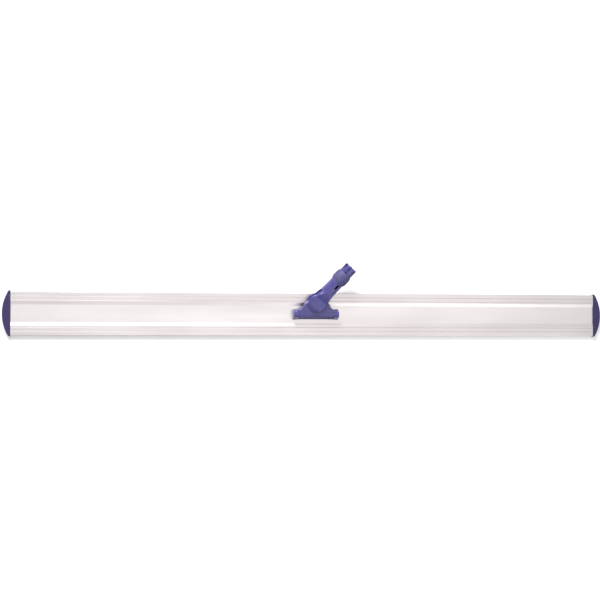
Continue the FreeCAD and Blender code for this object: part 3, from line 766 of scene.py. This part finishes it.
def ribs_round(piece: bpy.types.Object, rib: bpy.types.Object, count: int, finish: Finish) -> None:
    """Put ribs round +Z at equal steps.

    Args:
        piece: the ribbed piece.
        rib: one rib in the XZ plane, off the axis.
        count: number of ribs.
        finish: the finish of piece and ribs.
    """
    repeat = Repeat("grip_ribs", rib, {"Count": count, "Step": 2 * math.pi / count})
    tree, inputs = repeat.tree, repeat.inputs
    row = {"Count": inputs["Count"], "Offset": (0, 0, 0)}
    points = add_node(tree, "GeometryNodeMeshLine", row).outputs[0]
    index = add_node(tree, "GeometryNodeInputIndex").outputs[0]
    steps = {0: index, 1: inputs["Step"]}
    turn = add_node(tree, "ShaderNodeMath", steps, operation="MULTIPLY").outputs[0]
    spin = add_node(tree, "ShaderNodeCombineXYZ", {"Z": turn}).outputs[0]
    repeat.lay(points, spin, finish)
    repeat.apply(piece)


# ---------------------------------------------------------------- sub-assemblies


@dataclass(frozen=True)
class Moulding:
    """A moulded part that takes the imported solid's shape and softens its edges as a mould does."""

    node: str
    body: Body
    slot: str
    finish: Finish
    cell_mm: float = 0.5
    passes: int = 8
    pull: float = 0.5

    def build(self) -> None:
        """Make the part, which stands for its node."""
        shape = bmesh.new()
        shape.from_mesh(frame["nodes"][self.node].data)
        bmesh.ops.remove_doubles(shape, verts=shape.verts, dist=SAME_SPOT_M)
        piece = new_object(self.node + "_moulding", shape)
        modify(piece, "REMESH", mode="VOXEL", voxel_size=self.cell_mm * MM)
        modify(piece, "SMOOTH", factor=self.pull, iterations=self.passes)
        settle(piece)
        shade(piece, self.finish.material(), NO_CREASES)
        hand_over(piece, self.body, self.slot, self.node)


@dataclass(frozen=True)
class PanScrew:
    """A pan-head screw with a cross recess, its head on +Z and its seat at zero."""

    SEGMENTS: ClassVar[int] = 32
    TIP_SHARE: ClassVar[float] = 0.8
    TIP_LONG: ClassVar[float] = 0.8
    SEAT_ROUNDING: ClassVar[float] = 0.2
    CUT_CLEAR: ClassVar[float] = 1.0
    # The head's line as shares of its radius and thickness, from the seat's rim up to the crown.
    SEAT_RADIUS: ClassVar[float] = 0.96
    RIM_HEIGHT: ClassVar[float] = 0.45
    CROWN: ClassVar[tuple[tuple[float, float], ...]] = ((0.93, 0.72), (0.72, 0.92), (0.4, 1.0))
    # The recess as shares of the head's radius, and its floor as a share of the thickness.
    BLADE_HALF: ClassVar[float] = 0.12
    BLADE_REACH: ClassVar[float] = 0.55
    RECESS_FLOOR: ClassVar[float] = 0.35

    shank: float
    head: float
    thick: float
    length: float

    def build(self) -> bpy.types.Object:
        """Make the screw.

        Returns:
            The screw, in millimetres.
        """
        profile = [
            (0, -self.length),
            (self.shank * self.TIP_SHARE, -self.length),
            (self.shank, self.TIP_LONG - self.length),
            (self.shank, 0),
            (self.head * self.SEAT_RADIUS, 0),
            (self.head, self.SEAT_ROUNDING),
            (self.head, self.thick * self.RIM_HEIGHT),
            *[(self.head * across, self.thick * up) for across, up in self.CROWN],
            (0, self.thick),
        ]
        screw = new_object("pan_screw", lathe(profile, self.SEGMENTS))
        half, reach = self.head * self.BLADE_HALF, self.head * self.BLADE_REACH
        floor = self.thick * self.RECESS_FLOOR
        for degrees in (0, 90):
            blade = box((-reach, -half, floor), (reach, half, self.thick + self.CUT_CLEAR))
            cutter = new_object("cross_blade", turned_about_z(blade, degrees))
            modify(screw, "BOOLEAN", operation="DIFFERENCE", object=cutter, solver="EXACT")
            settle(screw)
            drop(cutter)
        return screw


@dataclass(frozen=True)
class HookField:
    """Moulded hooks under a strip, drawn coarser than the real 1 mm apart so that they show."""

    ROOT: ClassVar[float] = 0.05
    BEND_SHARE: ClassVar[float] = 0.45
    CURL: ClassVar[tuple[float, float, int]] = (180, 330, 4)

    length: float = 1478.0
    width: float = 15.2
    columns: int = 463
    rows: int = 5
    height: float = 0.9
    wire: float = 0.2
    turn: float = 0.35
    seed: int = 4

    def hook(self) -> bpy.types.Object:
        """One hook that hangs from zero and curls back at its tip.

        Returns:
            The hook, in millimetres.
        """
        bend = self.height * self.BEND_SHARE
        middle = self.wire - self.height + bend
        spine = [(0.0, self.ROOT), (0.0, middle)] + arc((bend, middle), bend, *self.CURL)[1:]
        shape = bmesh.new()
        rings = []
        for number, (x, z) in enumerate(spine):
            before = Vector(spine[max(number - 1, 0)])
            after = Vector(spine[min(number + 1, len(spine) - 1)])
            side = (after - before).normalized().orthogonal() * self.wire
            corners = [
                (x + side.x, 0, z + side.y), (x, self.wire, z),
                (x - side.x, 0, z - side.y), (x, -self.wire, z),
            ]
            rings.append([shape.verts.new(corner) for corner in corners])
        for low, high in zip(rings, rings[1:]):
            for index in range(4):
                following = (index + 1) % 4
                shape.faces.new((low[index], low[following], high[following], high[index]))
        shape.faces.new(rings[0])
        shape.faces.new(rings[-1])
        bmesh.ops.recalc_face_normals(shape, faces=shape.faces)
        return new_object("hook", shape)


@dataclass(frozen=True)
class Plate:
    """The extrusion with its hook strips, caps, backing plate and screws."""

    field: HookField = HookField()
    cap_screw: PanScrew = PanScrew(1.5, 2.5, 2.0, 20.0)
    base_screw: PanScrew = PanScrew(2.0, 3.8, 2.0, 12.8)
    cap_seat: float = 746.0
    port_across: float = 30.0
    port_height: float = 5.5
    base_along: float = 51.0
    base_across: float = 5.5
    base_seat: float = 3.2
    strip_inner: float = 31.15
    strip_outer: float = 48.85
    back_inner: float = 29.15
    back_outer: float = 50.85
    strip_levels: Spot = (0.9, 1.6, 3.05)
    strip_edge: float = 0.2
    strip_crease: float = 50.0
    half_length: float = 742.0

    def build(self) -> None:
        """Build every piece of the frame body apart from the joint's."""
        dress_nodes(SATIN_ANODISED, "frame_profile")
        dress_nodes(ZINC_STEEL, "base_backing_plate")
        for side, label in ((-1, "left"), (1, "right")):
            Moulding(f"{label}_end_cap", Body.FRAME, "cap_plastic", SATIN_ABS).build()
            self.cap_screws(side, label)
        for side, label in ((-1, "front"), (1, "rear")):
            self.hook_strip(side, label)
        self.base_screws()

    def cap_screws(self, side: int, label: str) -> None:
        """Two screws that hold a cap.

        Args:
            side: -1 for the left cap, 1 for the right.
            label: name of the side.
        """
        ports = (-self.port_across, self.port_across)
        spots = [(side * self.cap_seat, port, self.port_height) for port in ports]
        outwards = Vector((0, side * math.pi / 2, 0))
        self.screws(f"{label}_cap_screws", spots, self.cap_screw, outwards)

    def base_screws(self) -> None:
        """Four screws that hold the joint base from below."""
        spots = [
            (along * self.base_along, across * self.base_across, self.base_seat)
            for along in (-1, 1) for across in (-1, 1)
        ]
        self.screws("base_screws", spots, self.base_screw, Vector((math.pi, 0, 0)))

    def screws(self, node: str, spots: list[Spot], screw: PanScrew, turn: Vector) -> None:
        """Make a set of screws that stands for a node.

        Args:
            node: the CAD node.
            spots: seats of the heads, in millimetres.
            screw: the screw's sizes.
            turn: rotation of every screw.
        """
        points = bmesh.new()
        for spot in spots:
            points.verts.new(spot)
        piece = new_object(node + "_set", points)
        screws_at(piece, screw.build(), turn)
        place(piece, Matrix.Identity(4))
        shade(piece, ZINC_STEEL.material())
        hand_over(piece, Body.FRAME, "zinc_steel", node)

    def hook_strip(self, side: int, label: str) -> None:
        """A strip: back in the slot, narrower field below it, hooks under the field.

        Args:
            side: -1 for the front strip, 1 for the rear.
            label: name of the strip.
        """
        floor, lip, roof = self.strip_levels
        section = [
            (self.strip_inner, floor), (self.strip_outer, floor), (self.strip_outer, lip),
            (self.back_outer, lip), (self.back_outer, roof), (self.back_inner, roof),
            (self.back_inner, lip), (self.strip_inner, lip),
        ]
        mirrored = [(side * across, height) for across, height in section]
        outline = rounded(mirrored, self.strip_edge, 2)
        bar = prism(outline, -self.half_length, self.half_length)
        strip = new_object(f"{label}_hook_field", bar)
        # The bar's section was drawn in X and Y: this lays its length along X.
        strip.data.transform(Matrix(((0, 0, 1, 0), (1, 0, 0, 0), (0, 1, 0, 0), (0, 0, 0, 1))))
        middle = Vector((0, side * (self.strip_inner + self.strip_outer) / 2, floor))
        hooks_over(strip, self.field.hook(), self.field, middle)
        place(strip, Matrix.Identity(4))
        shade(strip, HOOK_NYLON.material(), self.strip_crease)
        hand_over(strip, Body.FRAME, "hook_nylon", f"{label}_hook_strip")


@dataclass(frozen=True)
class Joint:
    """The saddle on the plate, the rocker between its ears and the pins."""

    base_cell: float = 0.5
    rocker_cell: float = 0.5

    def build(self) -> None:
        """Build the joint's pieces."""
        plastic = ("joint_plastic", POLISHED_PP)
        Moulding("joint_base", Body.FRAME, *plastic, self.base_cell).build()
        Moulding("rocker", Body.ROCKER, *plastic, self.rocker_cell).build()
        dress_nodes(GROUND_STEEL, "tilt_pin", "swing_pin")
        dress_nodes(POLISHED_PP, "left_pin_plug", "right_pin_plug", "swing_pin_plug")
        dress_nodes(TURNED_ACETAL, "left_tilt_bush", "right_tilt_bush", "swing_bush")
        dress_nodes(TURNED_ACETAL, "front_swing_washer", "rear_swing_washer")


@dataclass(frozen=True)
class Handle:
    """The forked socket for the handle and the ribbed collar that clamps it."""

    where: Matrix
    bore: float = 16.1
    lip: float = 17.2
    belly: float = 19.5
    taper: float = 8.8
    low: float = 71.3
    high: float = 102.7
    lip_run: float = 1.2
    lip_step: float = 0.2
    edge: float = 2.0
    rib_count: int = 40
    rib_width: float = 1.3
    rib_proud: float = 0.5
    rib_deep: float = 1.2
    rib_edge: float = 2.5
    segments: int = 120
    crease: float = 40.0
    socket_cell: float = 0.68

    def build(self) -> None:
        """Build the socket and the collar."""
        cell = self.socket_cell
        Moulding("handle_socket", Body.SOCKET, "joint_plastic", POLISHED_PP, cell).build()
        self.collar()

    def flank(self, proud: float) -> Outline:
        """Draw the collar's outer line, stood off by an amount.

        Args:
            proud: how far the line stands outside the collar.

        Returns:
            Radius and height of its four corners, from the lower lip up.
        """
        lip, belly = self.lip + proud, self.belly + proud
        return [
            (lip, self.low + self.lip_run), (belly, self.low + self.taper),
            (belly, self.high - self.taper), (lip, self.high - self.lip_run),
        ]

    def collar(self) -> None:
        """The twist collar with grip ribs along it."""
        mouth = self.lip - self.lip_step
        outline = [
            (self.bore, self.low), (mouth, self.low), *self.flank(0), (mouth, self.high),
            (self.bore, self.high),
        ]
        turned = lathe(rounded(outline, self.edge, 4), self.segments)
        collar = new_object("ribbed_collar", turned)
        line = rounded(self.flank(self.rib_proud), self.rib_edge)[2:-2]
        inner = [(radius - self.rib_deep, height) for radius, height in line]
        rib = prism(line + inner[::-1], -self.rib_width / 2, self.rib_width / 2)
        upright = Matrix.Rotation(math.pi / 2, 4, "X")
        bmesh.ops.transform(rib, matrix=upright, verts=rib.verts)
        ribs_round(collar, new_object("grip_rib", rib), self.rib_count, ERODED_PP)
        place(collar, self.where)
        shade(collar, ERODED_PP.material(), self.crease)
        hand_over(collar, Body.COLLAR, "collar_plastic", "clamp_collar")


def main() -> None:
    """Build the studio and the sub-assemblies."""
    logging.basicConfig(level=logging.INFO, format="%(message)s")
    Studio().build()
    Plate().build()
    Joint().build()
    Handle(socket_frame()).build()


if __name__ == "__main__":
    main()
